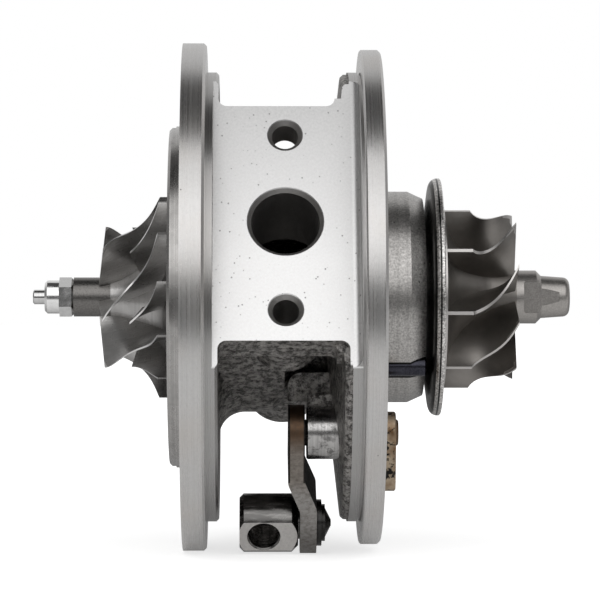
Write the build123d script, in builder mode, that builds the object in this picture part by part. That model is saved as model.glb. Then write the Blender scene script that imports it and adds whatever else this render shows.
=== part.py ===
from build123d import *
import os
from math import sin, cos, radians

os.makedirs("parts", exist_ok=True)

# Millimetres. The rotor axis is X, from the compressor to the turbine. X is 0 on the outer face of
# the compressor flange. The drain pad faces -Y and a little up, and Z is up.

# Bearing housing, outside
comp_flange_radius = 59.5
comp_flange_thickness = 5.5
turb_flange_radius = 58.0
turb_flange_thickness = 4.7
flange_gap = 35.7
collar_radius = 52.7
comp_collar_thickness = 1.7
turb_collar_thickness = 2.9
comp_web_thickness = 1.2
turb_web_thickness = 3.3
web_inset = 0.5
web_draft = 1.8
web_relief = 1.5
face_ring_width = 5.3
face_recess = 0.4
seal_plate_seat = 0.5
collar_groove = 0.6
barrel_radius = 27.0
barrel_length = 15.1
waist_radius = 21.0
comp_fillet = 6.0
turb_fillet = 3.0
barrel_slope = 2.5
rim_chamfer = 0.6
nose_radius = 24.8
nose_straight = 6.6
nose_taper = 3.5
nose_taper_drop = 1.6
shield_seat_radius = 17.0
shield_seat_height = 0.3

# Drain pad, drain and the oil feed opposite to it
pad_tilt = 26.5
pad_distance = 38.2
pad_half_height = 29.8
pad_thickness = 8.0
pad_corner = 2.0
drain_position = 23.6
drain_bore_radius = 7.75
drain_chamfer = 1.0
drain_bolt_spacing = 44.4
drain_bolt_tap_radius = 3.0
drain_bolt_chamfer = 1.1
drain_bolt_depth = 16.0
neck_wall = 5.0
neck_drop = 27.0
bush_block_height = 6.6
bush_block_corner = 3.2
feed_boss_radius = 8.8
feed_boss_reach = 52.0
feed_tap_radius = 5.25
feed_tap_depth = 12.0
feed_drill_radius = 1.5
oil_way_radius = 1.0

# Bearing housing, inside
tube_wall = 3.95
gallery_start = 14.0
gallery_radius = 16.5
gallery_end_wall = 9.0
running_clearance = 0.05
side_clearance = 0.1
open_clearance = 0.6

# Seal plate and what lies behind it
plate_radius = 40.06
plate_height = 3.1
plate_spigot_radius = 29.0
plate_spigot_length = 4.9
plate_recess_depth = 1.6
plate_web = 3.8
plate_spigot_wall = 5.0
plate_rim_groove = 0.35
o_ring_section = 1.0
thrust_bearing_radius = 21.0
thrust_bearing_thickness = 3.0
deflector_thickness = 0.6
deflector_hole_radius = 8.6
screw_radius = 2.0
screw_head_radius = 3.8
screw_length = 8.6
plate_screw_circle = 34.6
plate_screw_count = 3
thrust_screw_circle = 15.2
thrust_screw_count = 3
socket_depth = 1.0

# Rotating assembly
stub_radius = 2.5
journal_radius = 3.25
bush_outer_radius = 5.5
bush_length = 7.0
comp_bush_start = 13.0
turb_bush_start = 38.0
circlip_thickness = 0.7
circlip_depth = 0.55
circlip_width = 1.1
seal_hub_radius = 7.0
seal_hub_start = 47.0
ring_width = 1.1
ring_depth = 1.0
flinger_start = -1.0
flinger_disc_radius = 8.4
collar_core_radius = 5.0
collar_disc_radius = 8.0
collar_disc_thickness = 1.0

# Compressor wheel and its nut
comp_wheel_radius = 23.8
comp_wheel_back = -2.2
comp_rim_thickness = 1.0
comp_exit_width = 2.4
comp_inlet_radius = 16.8
comp_inlet_hub_radius = 4.6
comp_blade_inlet = -19.7
comp_inlet_sweep = 1.3
comp_shroud_start = -11.0
comp_wrap = 57.0
comp_first_blade = 41.0
comp_splitter_start = 0.38
comp_blade_root = 0.5
comp_nose_face = -25.7
comp_blade_pairs = 6
comp_tip_thickness = 0.55
comp_root_thickness = 1.3
nut_flats = 8.0
nut_height = 3.4
nut_collar_radius = 3.9
nut_collar_length = 3.4
shaft_tip_radius = 1.7
shaft_tip_length = 2.8

# Turbine wheel and heat shield
turb_wheel_radius = 21.4
turb_wheel_back = 59.8
turb_rim_thickness = 1.2
turb_exit_radius = 19.5
turb_waist_radius = 18.9
turb_inlet_width = 5.9
turb_blade_exit = 77.6
turb_wrap = 32.0
turb_first_blade = 30.0
turb_hub_exit_radius = 6.3
turb_blade_count = 9
turb_tip_thickness = 0.8
turb_root_thickness = 2.0
turb_nose_radius = 6.25
turb_nose_length = 5.7
turb_nose_chamfer = 1.1
balance_cut_length = 4.2
balance_cut_width = 7.6
balance_cut_depth = 1.7
stub_base_radius = 5.0
stub_end_radius = 4.5
stub_length = 6.8
shield_radius = 27.9
shield_depth = 3.9
shield_thickness = 0.8
shield_dish = 1.5
shield_bend = 1.6

# Locating pin in the nose
pin_radius = 2.25
pin_length = 17.0
pin_angle = 43.0
pin_stand_out = 0.9

# Lever, spindle and swivel
spindle_y = -22.0
spindle_z = -31.0
spindle_radius = 3.0
lever_bush_radius = 6.1
lever_bush_start = 28.5
lever_bush_stand_out = 0.2
lever_start = 24.3
lever_thickness = 3.8
lever_upper_radius = 6.4
lever_lower_radius = 7.1
lever_length = 23.9
lever_joggle = 2.85
joggle_start = 10.0
joggle_end = 17.2
lever_bend = 4.0
lever_angle = 27.0
crank_thickness = 2.6
crank_gap = 0.4
crank_eye_radius = 4.8
crank_length = 10.4
crank_finger_radius = 3.1
crank_angle = 6.0
swivel_radius = 6.8
swivel_length = 13.55
swivel_chamfer = 1.5
swivel_end_chamfer = 1.0
swivel_shoulder_radius = 3.8
swivel_shoulder_length = 0.3
swivel_flat = 5.5
swivel_hole_radius = 3.5
swivel_hole_inset = 5.6
swivel_hole_chamfer = 0.35
swivel_flat_angle = 33.0
swivel_pin_radius = 2.6
swivel_pin_depth = 3.2
washer_radius = 5.4
washer_thickness = 1.1
small_washer_radius = 4.3
small_washer_thickness = 0.8
rivet_head_radius = 3.5
rivet_head_height = 1.4

# Places along the rotor axis
comp_inner = comp_flange_thickness
comp_collar_end = comp_inner + comp_collar_thickness
comp_web_end = comp_collar_end + comp_web_thickness
turb_inner = comp_inner + flange_gap
turb_collar_end = turb_inner - turb_collar_thickness
turb_web_end = turb_collar_end - turb_web_thickness
turb_face = turb_inner + turb_flange_thickness
nose_shoulder = turb_face + nose_straight
nose_front = nose_shoulder + nose_taper
shield_seat = nose_front + shield_seat_height
web_radius = collar_radius - web_inset
gallery_end = nose_front - gallery_end_wall
bearing_bore_radius = bush_outer_radius + running_clearance
tube_radius = bearing_bore_radius + tube_wall
seal_bore_radius = seal_hub_radius + running_clearance
spigot_bore_radius = plate_spigot_radius + running_clearance
spigot_seat = plate_spigot_length + side_clearance
thrust_seat = spigot_seat + thrust_bearing_thickness
thrust_core_length = thrust_bearing_thickness + side_clearance
collar_start = spigot_seat - side_clearance / 2 - collar_disc_thickness
collar_rear = collar_start + collar_disc_thickness + thrust_core_length
collar_end = collar_rear + collar_disc_thickness
thrust_pocket_end = collar_end + 2 * open_clearance

pad_normal = Vector(0, -cos(radians(pad_tilt)), sin(radians(pad_tilt)))
drain_axis_point = Vector(drain_position, 0, 0)
pad_plane = Plane(origin=drain_axis_point + pad_normal * pad_distance, x_dir=(1, 0, 0), z_dir=pad_normal)
pad_section = Plane(origin=(0, 0, 0), x_dir=(1, 0, 0), z_dir=Vector(1, 0, 0).cross(pad_normal))
feed_plane = Plane(
    origin=drain_axis_point - pad_normal * feed_boss_reach, x_dir=(1, 0, 0), z_dir=-pad_normal
)
pin_y = -(nose_radius + pin_stand_out - pin_radius) * cos(radians(pin_angle))
pin_z = -(nose_radius + pin_stand_out - pin_radius) * sin(radians(pin_angle))


def across(x):
    """A plane square to the rotor axis at x, facing the turbine."""
    return Plane(origin=(x, 0, 0), x_dir=(0, 1, 0), z_dir=(1, 0, 0))


def corner(shape, x, y):
    """The corner of a flat shape nearest to a point of its own plane."""
    return shape.vertices().sort_by_distance((x, y, 0))[0]


# Bearing housing: one casting with two flanges, barrel, drain pad and turbine nose
barrel_end = comp_web_end + barrel_length
web_foot = turb_web_end - web_draft
web_rim = turb_web_end + web_draft

with BuildPart() as bearing_housing:
    with BuildSketch(Plane.XZ) as outline:
        with BuildLine():
            Polyline(
                (0, 0),
                (0, comp_flange_radius),
                (comp_inner, comp_flange_radius),
                (comp_inner, collar_radius),
                (comp_web_end, collar_radius),
                (comp_web_end, barrel_radius),
                (barrel_end, barrel_radius),
                (barrel_end, waist_radius),
                (web_foot, waist_radius),
                (web_rim, web_radius),
                (turb_collar_end, web_radius),
                (turb_collar_end, collar_radius),
                (turb_inner - collar_groove, collar_radius),
                (turb_inner - collar_groove, collar_radius - collar_groove),
                (turb_inner, collar_radius - collar_groove),
                (turb_inner, turb_flange_radius),
                (turb_face, turb_flange_radius),
                (turb_face, turb_flange_radius - face_ring_width),
                (turb_face - face_recess, turb_flange_radius - face_ring_width),
                (turb_face - face_recess, nose_radius),
                (nose_shoulder, nose_radius),
                (nose_front, nose_radius - nose_taper_drop),
                (nose_front, shield_seat_radius),
                (shield_seat, shield_seat_radius),
                (shield_seat, 0),
                close=True,
            )
        make_face()
        fillet(corner(outline, comp_web_end, barrel_radius), comp_fillet)
        chamfer(corner(outline, barrel_end, barrel_radius), barrel_slope)
        chamfer(corner(outline, barrel_end, waist_radius), barrel_slope)
        fillet(corner(outline, web_foot, waist_radius), turb_fillet)
        chamfer(corner(outline, comp_web_end, collar_radius), comp_web_thickness / 2)
        chamfer(corner(outline, web_rim, web_radius), web_draft / 3)
        chamfer(corner(outline, comp_inner, comp_flange_radius), rim_chamfer)
        chamfer(corner(outline, turb_inner, turb_flange_radius), rim_chamfer / 2)
        chamfer(corner(outline, turb_face, turb_flange_radius), rim_chamfer)
    revolve(axis=Axis.X)

    # Drain pad, carried by the two flanges, with hollow corners where it meets them
    pad_middle = (comp_web_end + turb_web_end) / 2 - drain_position
    pad_span = turb_collar_end - comp_collar_end + web_inset
    pad_open = turb_web_end - comp_web_end
    with BuildSketch(pad_plane):
        with Locations((pad_middle, 0)):
            Rectangle(pad_span, 2 * (pad_half_height + pad_corner))
        with Locations(
            (pad_middle, pad_half_height + barrel_radius),
            (pad_middle, -pad_half_height - barrel_radius),
        ):
            RectangleRounded(pad_open, 2 * barrel_radius, pad_corner, mode=Mode.SUBTRACT)
    extrude(amount=-pad_thickness)

    # Cast neck from the barrel to the pad: wide on the compressor side, short beside the lever
    neck_side = drain_bore_radius + neck_wall
    with BuildSketch(pad_plane.offset(-pad_thickness / 2)) as neck:
        with Locations(((comp_collar_end + barrel_end) / 2 - drain_position, (neck_side - neck_drop) / 2)):
            Rectangle(barrel_end - comp_collar_end, neck_drop + neck_side)
        with Locations((0, 0)):
            RectangleRounded(2 * neck_side, 2 * neck_side, pad_corner)
    extrude(amount=-(pad_distance - pad_thickness / 2 - pad_corner))
    with BuildSketch(pad_plane.offset(-pad_thickness / 2)):
        with Locations((0, -drain_bolt_spacing / 2)):
            Circle(drain_bolt_tap_radius + neck_wall)
    extrude(amount=-(pad_distance - barrel_radius))

    # Oil feed boss on the far side
    with BuildSketch(feed_plane):
        Circle(feed_boss_radius)
    extrude(amount=-(feed_boss_reach - waist_radius + neck_wall), taper=-2)

    # Cast block over the lever, and the saddle under it that holds the lever bush
    block_foot = spindle_z + lever_upper_radius + open_clearance
    block_depth = barrel_radius - waist_radius + neck_wall
    with BuildSketch(Plane.XZ.offset(-spindle_y - lever_bush_radius / 2)) as block:
        with Locations(((lever_start + turb_web_end) / 2, block_foot + bush_block_height / 2)):
            Rectangle(turb_web_end - lever_start, bush_block_height)
        fillet(corner(block, lever_start, block_foot + bush_block_height), bush_block_corner)
    extrude(amount=-block_depth)
    saddle_start = lever_start + lever_thickness + open_clearance
    with BuildSketch(Plane.XZ.offset(-spindle_y)):
        with Locations(((saddle_start + turb_web_end) / 2, block_foot)):
            Rectangle(turb_web_end - saddle_start, bush_block_height / 2)
    extrude(amount=-(block_depth - lever_bush_radius / 2))

    # The milled pad face also trims the cast web and the turbine collar, up to a rounded corner
    milled_end = turb_inner - collar_groove
    with BuildSketch(pad_section) as milling:
        with Locations(((comp_collar_end + milled_end) / 2, pad_distance + collar_radius / 2)):
            Rectangle(milled_end - comp_collar_end, collar_radius)
        fillet(corner(milling, milled_end, pad_distance), pad_corner)
    extrude(amount=collar_radius, both=True, mode=Mode.SUBTRACT)

    # Below the pad the cast web lies a little under the milled face
    relief_middle = turb_collar_end - web_inset - pad_open / 2 - drain_position
    with BuildSketch(pad_plane.offset(-web_relief)):
        with Locations((relief_middle, -pad_half_height - barrel_radius)):
            RectangleRounded(pad_open, 2 * barrel_radius, pad_corner)
    extrude(amount=2 * web_relief, mode=Mode.SUBTRACT)

    # Oil gallery round the bearing tube, then the rib that carries the oil feed across it
    with BuildSketch(across(gallery_start)):
        Circle(gallery_radius)
        Circle(tube_radius, mode=Mode.SUBTRACT)
    extrude(amount=gallery_end - gallery_start, mode=Mode.SUBTRACT)
    with BuildSketch(Plane(origin=drain_axis_point, x_dir=(1, 0, 0), z_dir=-pad_normal)):
        Circle(feed_drill_radius + tube_wall)
    extrude(amount=gallery_radius + tube_wall / 2)

    # Bores along the rotor axis
    with BuildSketch(Plane.XZ):
        with BuildLine():
            Polyline(
                (0, 0),
                (0, plate_radius + running_clearance),
                (seal_plate_seat, plate_radius + running_clearance),
                (seal_plate_seat, spigot_bore_radius),
                (spigot_seat, spigot_bore_radius),
                (spigot_seat, thrust_bearing_radius + running_clearance),
                (thrust_seat, thrust_bearing_radius + running_clearance),
                (thrust_seat, collar_disc_radius + open_clearance),
                (thrust_pocket_end, collar_disc_radius + open_clearance),
                (thrust_pocket_end, bearing_bore_radius),
                (seal_hub_start - open_clearance, bearing_bore_radius),
                (seal_hub_start - open_clearance, seal_hub_radius + open_clearance),
                (gallery_end + tube_wall, seal_hub_radius + open_clearance),
                (gallery_end + tube_wall, seal_bore_radius),
                (shield_seat, seal_bore_radius),
                (shield_seat, 0),
                close=True,
            )
        make_face()
    revolve(axis=Axis.X, mode=Mode.SUBTRACT)

    # Circlip grooves
    groove_starts = (
        comp_bush_start - side_clearance - circlip_thickness,
        comp_bush_start + bush_length + side_clearance,
        turb_bush_start - side_clearance - circlip_thickness,
        turb_bush_start + bush_length + side_clearance,
    )
    for groove in groove_starts:
        with BuildSketch(across(groove)):
            Circle(bearing_bore_radius + circlip_depth)
            Circle(bearing_bore_radius - circlip_depth, mode=Mode.SUBTRACT)
        extrude(amount=circlip_thickness, mode=Mode.SUBTRACT)

    # Drain bore with its chamfer, and the two tapped holes of the pad
    with BuildSketch(pad_plane):
        Circle(drain_bore_radius)
    extrude(amount=-(pad_distance - tube_radius), mode=Mode.SUBTRACT)
    with BuildSketch(pad_plane):
        Circle(drain_bore_radius + drain_chamfer)
    extrude(amount=-drain_chamfer, taper=45, mode=Mode.SUBTRACT)
    with BuildSketch(pad_plane):
        with Locations((0, drain_bolt_spacing / 2), (0, -drain_bolt_spacing / 2)):
            Circle(drain_bolt_tap_radius)
    extrude(amount=-drain_bolt_depth, mode=Mode.SUBTRACT)
    with BuildSketch(pad_plane):
        with Locations((0, drain_bolt_spacing / 2), (0, -drain_bolt_spacing / 2)):
            Circle(drain_bolt_tap_radius + drain_bolt_chamfer)
    extrude(amount=-drain_bolt_chamfer, taper=45, mode=Mode.SUBTRACT)

    # Oil drain from the thrust bearing into the gallery
    way_distance = (gallery_radius + tube_radius) / 2
    with BuildSketch(across(thrust_seat)):
        with Locations((pad_normal.Y * way_distance, pad_normal.Z * way_distance)):
            Circle((gallery_radius - tube_radius) / 2)
    extrude(amount=gallery_start - thrust_seat, mode=Mode.SUBTRACT)

    # Oil feed: tapped inlet, cross drilling, and the oil way to both bushes
    with BuildSketch(feed_plane):
        Circle(feed_tap_radius)
    extrude(amount=-feed_tap_depth, mode=Mode.SUBTRACT)
    oil_way_distance = bearing_bore_radius + tube_wall / 2
    with BuildSketch(feed_plane):
        Circle(feed_drill_radius)
    extrude(amount=-(feed_boss_reach - oil_way_distance), mode=Mode.SUBTRACT)
    oil_way_end = turb_bush_start + bush_length / 2 + oil_way_radius
    with BuildSketch(across(thrust_pocket_end)):
        with Locations((-pad_normal.Y * oil_way_distance, -pad_normal.Z * oil_way_distance)):
            Circle(oil_way_radius)
    extrude(amount=oil_way_end - thrust_pocket_end, mode=Mode.SUBTRACT)
    for bush_start in (comp_bush_start, turb_bush_start):
        with BuildSketch(
            Plane(origin=(bush_start + bush_length / 2, 0, 0), x_dir=(1, 0, 0), z_dir=-pad_normal)
        ):
            Circle(oil_way_radius)
        extrude(amount=oil_way_distance, mode=Mode.SUBTRACT)

    # Holes for the lever bush, the locating pin and the screws
    with BuildSketch(across(lever_bush_start)):
        with Locations((spindle_y, spindle_z)):
            Circle(lever_bush_radius)
    extrude(amount=turb_face - lever_bush_start, mode=Mode.SUBTRACT)
    with BuildSketch(across(nose_front - pin_length + shield_seat_height / 2)):
        with Locations((pin_y, pin_z)):
            Circle(pin_radius)
    extrude(amount=pin_length, mode=Mode.SUBTRACT)
    with BuildSketch(across(0)):
        with PolarLocations(plate_screw_circle, plate_screw_count, start_angle=90):
            Circle(screw_radius)
    extrude(amount=screw_length - plate_height + open_clearance, mode=Mode.SUBTRACT)
    with BuildSketch(across(thrust_seat)):
        with PolarLocations(thrust_screw_circle, thrust_screw_count, start_angle=pad_tilt):
            Circle(screw_radius)
    extrude(amount=gallery_start - thrust_seat, mode=Mode.SUBTRACT)
bearing_housing.part.label = "bearing_housing"
export_step(bearing_housing.part, "parts/bearing_housing.step")


# Seal plate: disc in front of the compressor flange, with a spigot that fits the housing
recess_floor = plate_recess_depth - plate_height
oil_side = recess_floor + plate_web
recess_radius = comp_wheel_radius + open_clearance
with BuildPart() as seal_plate:
    with BuildSketch(Plane.XZ) as plate_outline:
        with BuildLine():
            Polyline(
                (recess_floor, seal_bore_radius),
                (recess_floor, recess_radius),
                (-plate_height, recess_radius),
                (-plate_height, plate_radius - plate_rim_groove),
                (-plate_height / 2, plate_radius - plate_rim_groove),
                (-plate_height / 2, plate_radius),
                (seal_plate_seat, plate_radius),
                (seal_plate_seat, plate_spigot_radius),
                (plate_spigot_length, plate_spigot_radius),
                (plate_spigot_length, plate_spigot_radius - plate_spigot_wall),
                (oil_side, plate_spigot_radius - plate_spigot_wall),
                (oil_side, seal_bore_radius),
                close=True,
            )
        make_face()
        chamfer(corner(plate_outline, -plate_height, recess_radius), rim_chamfer / 2)
        chamfer(corner(plate_outline, -plate_height, plate_radius - plate_rim_groove), rim_chamfer)
        chamfer(corner(plate_outline, seal_plate_seat, plate_radius), seal_plate_seat / 2)
        chamfer(corner(plate_outline, plate_spigot_length, plate_spigot_radius), rim_chamfer / 2)
    revolve(axis=Axis.X)
    ring_groove_start = (plate_spigot_length - 2 * o_ring_section) / 2
    with BuildSketch(across(ring_groove_start)):
        Circle(plate_spigot_radius)
        Circle(spigot_bore_radius - 1.8 * o_ring_section, mode=Mode.SUBTRACT)
    extrude(amount=2 * o_ring_section, mode=Mode.SUBTRACT)
    with BuildSketch(across(-plate_height)):
        with PolarLocations(plate_screw_circle, plate_screw_count, start_angle=90):
            Circle(screw_radius + open_clearance / 2)
    extrude(amount=plate_height + seal_plate_seat, mode=Mode.SUBTRACT)
    with BuildSketch(across(-plate_height)):
        with PolarLocations(plate_screw_circle, plate_screw_count, start_angle=90):
            Circle(screw_head_radius)
    extrude(amount=screw_head_radius - screw_radius, taper=45, mode=Mode.SUBTRACT)
seal_plate.part.label = "seal_plate"
export_step(seal_plate.part, "parts/seal_plate.step")


def countersunk_screws(face, circle, count, first_angle):
    """Countersunk screws in a ring, heads level with the plane at face, with hexagon sockets."""
    with BuildPart(mode=Mode.PRIVATE) as screws:
        with BuildSketch(across(face)):
            with PolarLocations(circle, count, start_angle=first_angle):
                Circle(screw_head_radius)
        extrude(amount=screw_head_radius - screw_radius, taper=45)
        with BuildSketch(across(face)):
            with PolarLocations(circle, count, start_angle=first_angle):
                Circle(screw_radius)
        extrude(amount=screw_length)
        with BuildSketch(across(face)):
            with PolarLocations(circle, count, start_angle=first_angle):
                RegularPolygon(screw_radius / 2, 6)
        extrude(amount=socket_depth, mode=Mode.SUBTRACT)
    return screws.part


# Screws that hold the seal plate
seal_plate_screws = countersunk_screws(-plate_height, plate_screw_circle, plate_screw_count, 90)
seal_plate_screws.label = "seal_plate_screws"
export_step(seal_plate_screws, "parts/seal_plate_screws.step")

# Seal plate O-ring
with BuildPart() as seal_plate_o_ring:
    with BuildSketch(Plane.XZ):
        with Locations((plate_spigot_length / 2, spigot_bore_radius - 0.9 * o_ring_section)):
            Circle(0.9 * o_ring_section)
    revolve(axis=Axis.X)
seal_plate_o_ring.part.label = "seal_plate_o_ring"
export_step(seal_plate_o_ring.part, "parts/seal_plate_o_ring.step")

# Thrust bearing: a plate open towards the drain, so that it slides over the thrust collar
thrust_bore = collar_core_radius + running_clearance
with BuildPart() as thrust_bearing:
    with BuildSketch(across(spigot_seat)):
        Circle(thrust_bearing_radius)
        Circle(thrust_bore, mode=Mode.SUBTRACT)
        with Locations(Location((0, 0, 0), (0, 0, 180 - pad_tilt))):
            with Locations((thrust_bearing_radius / 2, 0)):
                Rectangle(thrust_bearing_radius + thrust_bore, 2 * thrust_bore, mode=Mode.SUBTRACT)
    extrude(amount=thrust_bearing_thickness)
    with BuildSketch(across(spigot_seat)):
        with PolarLocations(thrust_screw_circle, thrust_screw_count, start_angle=pad_tilt):
            Circle(screw_head_radius)
    extrude(amount=screw_head_radius - screw_radius, taper=45, mode=Mode.SUBTRACT)
    with BuildSketch(across(spigot_seat)):
        with PolarLocations(thrust_screw_circle, thrust_screw_count, start_angle=pad_tilt):
            Circle(screw_radius + open_clearance / 2)
    extrude(amount=thrust_bearing_thickness, mode=Mode.SUBTRACT)
thrust_bearing.part.label = "thrust_bearing"
export_step(thrust_bearing.part, "parts/thrust_bearing.step")

# Screws that hold the thrust bearing
thrust_bearing_screws = countersunk_screws(spigot_seat, thrust_screw_circle, thrust_screw_count, pad_tilt)
thrust_bearing_screws.label = "thrust_bearing_screws"
export_step(thrust_bearing_screws, "parts/thrust_bearing_screws.step")

# Oil deflector: pressed sheet disc that lies on the thrust bearing
deflector_radius = plate_spigot_radius - plate_spigot_wall - open_clearance
with BuildPart() as oil_deflector:
    with BuildSketch(across(spigot_seat - deflector_thickness)):
        Circle(deflector_radius)
        Circle(deflector_hole_radius, mode=Mode.SUBTRACT)
        with Locations(Location((0, 0, 0), (0, 0, 180 - pad_tilt))):
            with Locations((deflector_radius, 0)):
                SlotCenterToCenter(collar_disc_radius, collar_core_radius, mode=Mode.SUBTRACT)
    extrude(amount=deflector_thickness)
oil_deflector.part.label = "oil_deflector"
export_step(oil_deflector.part, "parts/oil_deflector.step")

# Circlips on both sides of the two journal bearings
with BuildPart() as bearing_circlips:
    for groove in groove_starts:
        with BuildSketch(across(groove)):
            Circle(bearing_bore_radius + circlip_depth)
            Circle(bearing_bore_radius + circlip_depth - circlip_width, mode=Mode.SUBTRACT)
            with Locations((0, -bearing_bore_radius)):
                Rectangle(bush_outer_radius, 2 * circlip_width, mode=Mode.SUBTRACT)
        extrude(amount=circlip_thickness)
bearing_circlips.part.label = "bearing_circlips"
export_step(bearing_circlips.part, "parts/bearing_circlips.step")

# Journal bearings: floating bushes with a ring of oil holes
for bush_name, bush_start in (
    ("journal_bearing_compressor", comp_bush_start),
    ("journal_bearing_turbine", turb_bush_start),
):
    with BuildPart() as journal_bearing:
        with BuildSketch(across(bush_start)):
            Circle(bush_outer_radius)
            Circle(journal_radius + running_clearance, mode=Mode.SUBTRACT)
        extrude(amount=bush_length)
        chamfer(journal_bearing.edges().group_by(SortBy.LENGTH)[-1], rim_chamfer / 2)
        for turn in range(3):
            with BuildSketch(
                Plane(origin=(bush_start + bush_length / 2, 0, 0), z_dir=(0, 1, 0)).rotated((60 * turn, 0, 0))
            ):
                Circle(oil_way_radius)
            extrude(amount=bush_outer_radius, both=True, mode=Mode.SUBTRACT)
    journal_bearing.part.label = bush_name
    export_step(journal_bearing.part, "parts/" + bush_name + ".step")

# Piston rings: the rings stay with their bores while the rotor turns inside them
comp_ring_start = (recess_floor + oil_side) / 2 - ring_width / 2
turb_ring_start = (gallery_end + tube_wall + shield_seat) / 2 - ring_width / 2
for ring_name, ring_start in (
    ("compressor_piston_ring", comp_ring_start),
    ("turbine_piston_ring", turb_ring_start),
):
    with BuildPart() as piston_ring:
        with BuildSketch(across(ring_start)):
            Circle(seal_bore_radius)
            Circle(seal_bore_radius - ring_depth, mode=Mode.SUBTRACT)
            with Locations((0, seal_bore_radius)):
                Rectangle(4 * running_clearance, 4 * ring_depth, mode=Mode.SUBTRACT)
        extrude(amount=ring_width)
    piston_ring.part.label = ring_name
    export_step(piston_ring.part, "parts/" + ring_name + ".step")

# Heat shield: pressed and dished pan behind the turbine wheel, seated on the nose
dish_inside = shield_seat + shield_dish + shield_thickness
with BuildPart() as heat_shield:
    with BuildSketch(Plane.XZ) as pan:
        with BuildLine():
            Polyline(
                (shield_seat, seal_hub_radius + open_clearance),
                (shield_seat, shield_seat_radius),
                (shield_seat + shield_dish, shield_radius),
                (shield_seat + shield_depth, shield_radius),
                (shield_seat + shield_depth, shield_radius - shield_thickness),
                (dish_inside, shield_radius - shield_thickness),
                (shield_seat + shield_thickness, shield_seat_radius),
                (shield_seat + shield_thickness, seal_hub_radius + open_clearance),
                close=True,
            )
        make_face()
        fillet(corner(pan, dish_inside, shield_radius - shield_thickness), shield_bend - shield_thickness / 2)
        fillet(corner(pan, shield_seat + shield_dish, shield_radius), shield_bend + shield_thickness / 2)
        chamfer(corner(pan, shield_seat + shield_depth, shield_radius), shield_thickness / 3)
    revolve(axis=Axis.X)
heat_shield.part.label = "heat_shield"
export_step(heat_shield.part, "parts/heat_shield.step")

# Locating pin let into the nose
with BuildPart() as locating_pin:
    with BuildSketch(across(nose_front - pin_length + shield_seat_height / 2)):
        with Locations((pin_y, pin_z)):
            Circle(pin_radius)
    extrude(amount=pin_length)
    chamfer(locating_pin.edges().group_by(Axis.X)[-1], rim_chamfer / 2)
locating_pin.part.label = "locating_pin"
export_step(locating_pin.part, "parts/locating_pin.step")


# Rotor shaft: threaded stub, two journals and the weld face of the turbine wheel
nut_face = comp_nose_face
nut_end = nut_face - nut_height - nut_collar_length
comp_bush_end = comp_bush_start + bush_length
with BuildPart() as rotor_shaft:
    with BuildSketch(Plane.XZ) as shaft_outline:
        with BuildLine():
            Polyline(
                (nut_end - shaft_tip_length, 0),
                (nut_end - shaft_tip_length, shaft_tip_radius),
                (nut_end, shaft_tip_radius),
                (nut_end, stub_radius),
                (collar_end, stub_radius),
                (collar_end, journal_radius),
                (comp_bush_end + 2 * open_clearance, journal_radius),
                (comp_bush_end + 3 * open_clearance, journal_radius - open_clearance / 2),
                (turb_bush_start - 3 * open_clearance, journal_radius - open_clearance / 2),
                (turb_bush_start - 2 * open_clearance, journal_radius),
                (seal_hub_start, journal_radius),
                (seal_hub_start, 0),
                close=True,
            )
        make_face()
        chamfer(corner(shaft_outline, nut_end - shaft_tip_length, shaft_tip_radius), rim_chamfer / 2)
    revolve(axis=Axis.X)
rotor_shaft.part.label = "rotor_shaft"
export_step(rotor_shaft.part, "parts/rotor_shaft.step")

# Oil flinger: sleeve with the groove of the compressor piston ring and an oil disc
ring_floor = seal_bore_radius - ring_depth - side_clearance
with BuildPart() as oil_flinger:
    with BuildSketch(Plane.XZ):
        with BuildLine():
            Polyline(
                (flinger_start, stub_radius),
                (flinger_start, seal_hub_radius),
                (comp_ring_start - side_clearance, seal_hub_radius),
                (comp_ring_start - side_clearance, ring_floor),
                (comp_ring_start + ring_width + side_clearance, ring_floor),
                (comp_ring_start + ring_width + side_clearance, seal_hub_radius),
                (oil_side + open_clearance / 2, seal_hub_radius),
                (oil_side + open_clearance / 2, flinger_disc_radius),
                (collar_start, flinger_disc_radius),
                (collar_start, stub_radius),
                close=True,
            )
        make_face()
    revolve(axis=Axis.X)
oil_flinger.part.label = "oil_flinger"
export_step(oil_flinger.part, "parts/oil_flinger.step")

# Thrust collar: two discs that run on the two faces of the thrust bearing
with BuildPart() as thrust_collar:
    with BuildSketch(Plane.XZ):
        with BuildLine():
            Polyline(
                (collar_start, stub_radius),
                (collar_start, collar_disc_radius),
                (collar_start + collar_disc_thickness, collar_disc_radius),
                (collar_start + collar_disc_thickness, collar_core_radius),
                (collar_rear, collar_core_radius),
                (collar_rear, collar_disc_radius),
                (collar_end, collar_disc_radius),
                (collar_end, stub_radius),
                close=True,
            )
        make_face()
    revolve(axis=Axis.X)
thrust_collar.part.label = "thrust_collar"
export_step(thrust_collar.part, "parts/thrust_collar.step")

# Shaft nut: hexagon towards the wheel, round collar in front
with BuildPart() as shaft_nut:
    with BuildSketch(across(nut_face - nut_height)):
        RegularPolygon(nut_flats / 2, 6, major_radius=False, rotation=30)
    extrude(amount=nut_height)
    nut_corner = nut_flats / 2 / cos(radians(30))
    with BuildSketch(Plane.XZ):
        with BuildLine():
            Polyline(
                (nut_face, 0),
                (nut_face, nut_flats / 2),
                (nut_face - (nut_corner - nut_flats / 2), nut_corner),
                (nut_face - nut_height, nut_corner),
                (nut_face - nut_height, 0),
                close=True,
            )
        make_face()
    revolve(axis=Axis.X, mode=Mode.INTERSECT)
    with BuildSketch(across(nut_face - nut_height)):
        Circle(nut_collar_radius)
    extrude(amount=-nut_collar_length)
    chamfer(shaft_nut.edges().group_by(Axis.X)[0], rim_chamfer)
    with BuildSketch(across(nut_end)):
        Circle(stub_radius)
    extrude(amount=nut_height + nut_collar_length, mode=Mode.SUBTRACT)
shaft_nut.part.label = "shaft_nut"
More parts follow.
